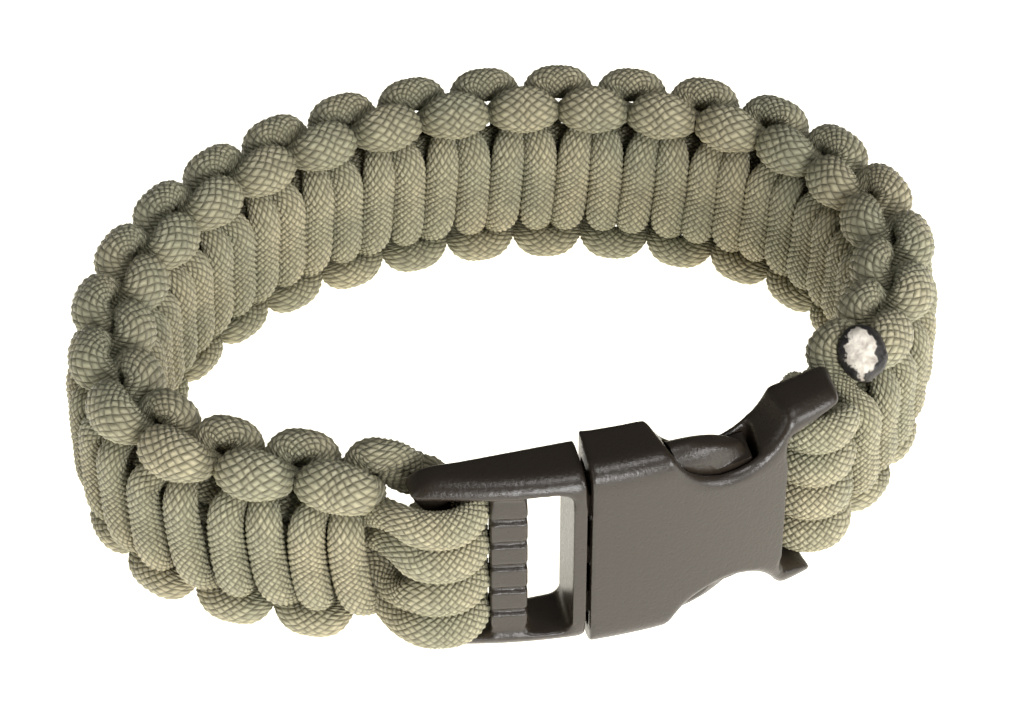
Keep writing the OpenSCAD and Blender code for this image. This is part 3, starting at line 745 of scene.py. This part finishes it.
# Camera: the photograph's viewing angle, with a long lens
VIEW_TARGET = Vector((0.494, 10.54, 0.81)) * MM
VIEW_DISTANCE = 380 * MM
VIEW_ELEVATION = math.radians(41.01)
VIEW_LENS = 120.8
VIEW_SENSOR = 36
NEAREST_SEEN = 10 * MM
camera_data = bpy.data.cameras.new("camera")
camera_data.lens = VIEW_LENS
camera_data.sensor_width = VIEW_SENSOR
camera_data.sensor_fit = "HORIZONTAL"
camera_data.clip_start = NEAREST_SEEN
camera = add_object("camera", camera_data)
to_camera = Vector((0, -math.cos(VIEW_ELEVATION), math.sin(VIEW_ELEVATION)))
camera.location = VIEW_TARGET + VIEW_DISTANCE * to_camera
camera.rotation_euler = (math.pi / 2 - VIEW_ELEVATION, 0, 0)
bpy.context.scene.camera = camera
bpy.context.scene.view_settings.view_transform = "Standard"

# Cords
nylon = olive_nylon()
acetal = black_acetal()
melt = melted_nylon()
sheath = sheath_tree()
cords = {"outer_working_cord": braided_cord("outer_cord", outer_cord_rings(), 0.0, sheath, nylon),
         "inner_working_cord": braided_cord("inner_cord", inner_cord_rings(), 0.0, sheath, nylon)}
for k in range(1, 5):
    cords["core_strand_%d" % k] = braided_cord("core_cord_%d" % k, core_strand_rings(k), 0.5, sheath, nylon)
for node, piece in cords.items():
    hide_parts(node)
    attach(piece, "root")

# Melted ends: a flattened bead on each cut end. Rows: share of its radius, height above the cut.
BEAD = [(0.25, 0.85), (0.5, 0.8), (0.72, 0.62), (0.88, 0.3),
        (0.98, -0.1), (1.0, -0.5), (0.92, -0.9), (0.8, -1.1)]
BEAD_SIDES = 40
BEAD_WIDE = 2.5
BEAD_TALL = 3.05
BEAD_UNDERSIDE = -0.6
TOWARDS_VIEWER = np.array([0.0, -0.75, 0.66])
BEAD_TURN = 1.5
# The melt's unevenness: scale and strength of two noises, and how far they push outwards and sideways
WOBBLES = [(0.8, 0.5), (2.1, 0.22)]
WOBBLE_OUT = 0.45
WOBBLE_ASIDE = 0.4
CLOSE_TO_END = 0.1


def bead_faces(rows, sides):
    """Faces of a bead: a point, rows of sides, and a point."""
    last = 1 + rows * sides
    lowest = last - sides
    faces = []
    for i in range(sides):
        j = (i + 1) % sides
        faces.append((0, 1 + i, 1 + j))
        for a in range(1, lowest, sides):
            faces.append((a + i, a + sides + i, a + sides + j, a + j))
        faces.append((lowest + i, last, lowest + j))
    return faces


def melted_end(name, side, face):
    """Bead on a cut end. The upper one is turned a little towards the camera."""
    before, end = bent(np.array(cut_end_rings(side, face))[-2:, :3])
    out = unit_rows((end - before)[None])[0]
    if side > 0:
        out = unit_rows((out + BEAD_TURN * TOWARDS_VIEWER)[None])[0]
    up = np.array([0.0, 0.0, 1.0])
    tall = unit_rows((up - np.dot(up, out) * out)[None])[0]
    wide = np.cross(tall, out)
    verts = []
    across = []
    for share, height in [(0.0, BEAD[0][1])] + BEAD + [(0.0, BEAD[-1][1])]:
        for i in range(BEAD_SIDES if share > 0 else 1):
            turn = 2 * math.pi * i / BEAD_SIDES
            spot = end + share * (BEAD_WIDE * math.cos(turn) * wide + BEAD_TALL * math.sin(turn) * tall)
            spot = spot + height * out
            aside = share * (spot - end) / max(np.linalg.norm(spot - end), CLOSE_TO_END)
            wobble = sum(noise.noise(Vector(spot * scale)) * strength for scale, strength in WOBBLES)
            verts.append((spot + wobble * (WOBBLE_OUT * out + WOBBLE_ASIDE * aside)) * MM)
            edge = share if height > BEAD_UNDERSIDE else 1.0
            across.append((-edge * math.cos(turn), edge * math.sin(turn)))
    mesh = bpy.data.meshes.new(name)
    mesh.from_pydata([tuple(v) for v in verts], [], bead_faces(len(BEAD), BEAD_SIDES))
    mesh.update()
    layer = mesh.uv_layers.new(name="UVMap")
    for loop in mesh.loops:
        layer.data[loop.index].uv = across[loop.vertex_index]
    mesh.polygons.foreach_set("use_smooth", [True] * len(mesh.polygons))
    mesh.materials.append(melt)
    return add_object(name, mesh)


for name, node, side, face in [("melted_end_upper", "melted_tip_upper", 1, -1),
                               ("melted_end_lower", "melted_tip_lower", -1, 1)]:
    bead = melted_end(name, side, face)
    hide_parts(node)
    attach(bead, "root")

# Buckle: each half is the solid's shape with its edges rounded as moulded plastic is. Places on it are the
# way along its curve from the seam, positive into the socket, and the way out and up.
SAME_SPOT = 0.001 * MM
SKIN = 0.19
SMOOTH_FACTOR = 0.5
EDGE_PASSES = 3
SOFT_PASSES = 60
BUTTON_PASSES = 15
WEIGHT_LEVELS = 8
# Where an edge is made softer. A pair is where that begins and the run over which it grows. Pairs of the
# way up count from the middle to both sides, and FRAME_BACK counts from the seam into the frame.
FRAME_BACK = (-0.6, 1.5)
FRAME_UP = (7.4, 1.6)
BUTTON_AT = (6.5, 1.0)
BUTTON_UP = (7.6, 1.2)
SOCKET_UP = (6.4, 1.4)
SOCKET_END_AT = (21.5, 2.0)
SOCKET_END_UP = (4.5, 3.0)
SOCKET_SEAM_RUN = 1.2
SOCKET_SEAM_SHARE = 0.3
FLARE_AT = (18.5, 1.5)
FLARE_UP = (6.0, 1.5)
# How the halves are fitted to the photograph: buttons like an egg, rails, seam and flares
BUTTON_MIDDLE = (8.3, 0.9, 7.9)
BUTTON_REACH = (8.4, 2.1, 3.4)
RAIL_UP = (7.0, 1.5)
RAIL_TIP_FROM = 12.5
RAIL_TIP_GROWN = 1.35
SEAM_CLOSED = 0.1
SEAM_REACH = 1.5
LOWER_FLARE_FROM = 22.5
LOWER_FLARE_KEPT = 0.4
FLARE_SIDE = (4.0, 4.0)
FLARE_TIP = (22.0, 4.0)
FLARE_ROUNDED_OFF = 0.4


def buckle_middle():
    """Middle of the circle that the buckle follows, and its heading at the seam."""
    x, y, heading = middle_line(np.array([0.0]))
    return (SEAM[0] + x[0] + BUCKLE_BEND * math.sin(heading[0]),
            SEAM[1] + y[0] - BUCKLE_BEND * math.cos(heading[0]), heading[0])


def from_seam(spots):
    x, y, heading = buckle_middle()
    turned = np.arctan2(x - spots[:, 0], spots[:, 1] - y) - heading
    turned = (turned + math.pi) % (2 * math.pi) - math.pi
    out = np.hypot(spots[:, 0] - x, spots[:, 1] - y) - BUCKLE_BEND
    return turned * BUCKLE_BEND, out, spots[:, 2] - HALF_BAND


def to_loop(at, out, up):
    x, y, heading = buckle_middle()
    turned = heading + at / BUCKLE_BEND
    return np.stack([x - np.sin(turned) * (BUCKLE_BEND + out), y + np.cos(turned) * (BUCKLE_BEND + out),
                     HALF_BAND + up], axis=1)


def soft_frame(at, out, up):
    return rising(np.abs(up), *FRAME_UP) * rising(-at, *FRAME_BACK)


def soft_button(at, out, up):
    return rising(np.abs(up), *BUTTON_UP) * rising(at, *BUTTON_AT)


def soft_socket(at, out, up):
    end = rising(at, *SOCKET_END_AT) * rising(np.abs(up), *SOCKET_END_UP)
    edges = np.maximum(rising(np.abs(up), *SOCKET_UP), end)
    return edges * (SOCKET_SEAM_SHARE + (1 - SOCKET_SEAM_SHARE) * eased(at / SOCKET_SEAM_RUN))


def soft_flare(at, out, up):
    return rising(at, *FLARE_AT) * rising(np.abs(up), *FLARE_UP)


def fit_prong_half(at, out, up):
    """Grows the tips of the rails a little, closes the seam and gives the buttons the top of an egg."""
    rail = rising(np.abs(up), *RAIL_UP)
    at = at - rail * (RAIL_TIP_GROWN - 1) * np.maximum(-at - RAIL_TIP_FROM, 0)
    at = at + SEAM_CLOSED * eased(at / SEAM_REACH + 1) * eased(1 - at / SEAM_REACH)
    egg_at = (at - BUTTON_MIDDLE[0]) / BUTTON_REACH[0]
    egg_out = (out - BUTTON_MIDDLE[1]) / BUTTON_REACH[1]
    egg = BUTTON_MIDDLE[2] + BUTTON_REACH[2] * np.sqrt(np.maximum(1 - (egg_at ** 2 + egg_out ** 2), 0))
    button = at > BUTTON_AT[0]
    return at, out, np.where(button, np.sign(up) * np.minimum(np.abs(up), egg), up)


def fit_socket_half(at, out, up):
    """Shortens the lower flare, which is the shorter one in the photograph, and fills out the upper tip."""
    flare = rising(-up, *FLARE_SIDE) * (1 - LOWER_FLARE_KEPT) * np.maximum(at - LOWER_FLARE_FROM, 0)
    return at - flare + FLARE_ROUNDED_OFF * rising(up, *FLARE_SIDE) * rising(at, *FLARE_TIP), out, up


def add_smoothing(piece, passes, group_name=""):
    smoothing = piece.modifiers.new("smoothing", "SMOOTH")
    smoothing.factor = SMOOTH_FACTOR
    smoothing.iterations = passes
    smoothing.vertex_group = group_name


def moulded_half(name, node, fit, soft_parts):
    """The solid's shape with an even skin, fitted to the photograph and then smoothed where it is soft."""
    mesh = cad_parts[node].data.copy()
    mesh.name = name
    shape = bmesh.new()
    shape.from_mesh(mesh)
    bmesh.ops.remove_doubles(shape, verts=shape.verts, dist=SAME_SPOT)
    shape.to_mesh(mesh)
    shape.free()
    piece = add_object(name, mesh)
    skin = piece.modifiers.new("skin", "REMESH")
    skin.mode = "VOXEL"
    skin.voxel_size = SKIN * MM
    skin.use_smooth_shade = True
    make_plain(piece)
    spots = np.empty(3 * len(piece.data.vertices), dtype=np.float32)
    piece.data.vertices.foreach_get("co", spots)
    spots = to_loop(*fit(*from_seam(spots.reshape(-1, 3) / MM)))
    piece.data.vertices.foreach_set("co", (spots * MM).astype(np.float32).ravel())
    add_smoothing(piece, EDGE_PASSES)
    for i, (soft_part, passes) in enumerate(soft_parts):
        group = piece.vertex_groups.new(name="soft%d" % i)
        weights = np.round(soft_part(*from_seam(spots)) * WEIGHT_LEVELS).astype(int)
        for level in range(1, WEIGHT_LEVELS + 1):
            group.add(np.flatnonzero(weights == level).tolist(), level / WEIGHT_LEVELS, "REPLACE")
        add_smoothing(piece, passes, group.name)
    make_plain(piece)
    piece.vertex_groups.clear()
    piece.data.materials.clear()
    piece.data.materials.append(acetal)
    return piece


halves = {"buckle_prong_half": moulded_half("moulded_prong_half", "buckle_prong_half", fit_prong_half,
                                            [(soft_frame, SOFT_PASSES), (soft_button, BUTTON_PASSES)]),
          "buckle_socket_half": moulded_half("moulded_socket_half", "buckle_socket_half", fit_socket_half,
                                             [(soft_socket, SOFT_PASSES), (soft_flare, SOFT_PASSES)])}
for node, half in halves.items():
    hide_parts(node)
    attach(half, "root")

# Floor and light, in metres and watts. Rows of the lights: name, place, aim, size, power.
FLOOR_HALF = 1.5
FLOOR_COLOUR = (0.9, 0.9, 0.9, 1)
FLOOR_GLOW_COLOUR = (1.0, 0.95, 0.82, 1)
FLOOR_GLOW = 1.5
LIGHTS = [("front light", (0.25, -0.8, 0.30), (0, 0, 0.01), 0.35, 5.0),
          ("left light", (-0.6, -0.25, 0.3), (0, 0, 0.01), 0.25, 0.4),
          ("right light", (0.6, -0.3, 0.25), (0, 0, 0.01), 0.25, 1.8),
          ("top light", (0.25, -0.25, 0.9), (0, 0, 0), 0.3, 2.2)]
WORLD_COLOUR = (0.88, 0.95, 1.0, 1)
WORLD_STRENGTH = 0.06


def pale_floor():
    """Pale floor that glows, because the photograph's background is plain white."""
    mesh = bpy.data.meshes.new("floor")
    corners = [(-FLOOR_HALF, -FLOOR_HALF, 0), (FLOOR_HALF, -FLOOR_HALF, 0),
               (FLOOR_HALF, FLOOR_HALF, 0), (-FLOOR_HALF, FLOOR_HALF, 0)]
    mesh.from_pydata(corners, [], [(0, 1, 2, 3)])
    material, t, shader = new_material("pale floor")
    t.feed_all(shader, {"Base Color": FLOOR_COLOUR, "Roughness": 0.9,
                        "Emission Color": FLOOR_GLOW_COLOUR, "Emission Strength": FLOOR_GLOW})
    mesh.materials.append(material)
    return add_object("floor", mesh)


def soft_light(name, place, aim, size, watts):
    light = bpy.data.lights.new(name, "AREA")
    light.shape = "DISK"
    light.size = size
    light.energy = watts
    made = add_object(name, light)
    made.location = place
    made.rotation_euler = (Vector(aim) - Vector(place)).to_track_quat("-Z", "Y").to_euler()


floor = pale_floor()
for name, place, aim, size, watts in LIGHTS:
    soft_light(name, place, aim, size, watts)
world = bpy.data.worlds.new("studio")
world.use_nodes = True
world.node_tree.nodes["Background"].inputs[0].default_value = WORLD_COLOUR
world.node_tree.nodes["Background"].inputs[1].default_value = WORLD_STRENGTH
bpy.context.scene.world = world
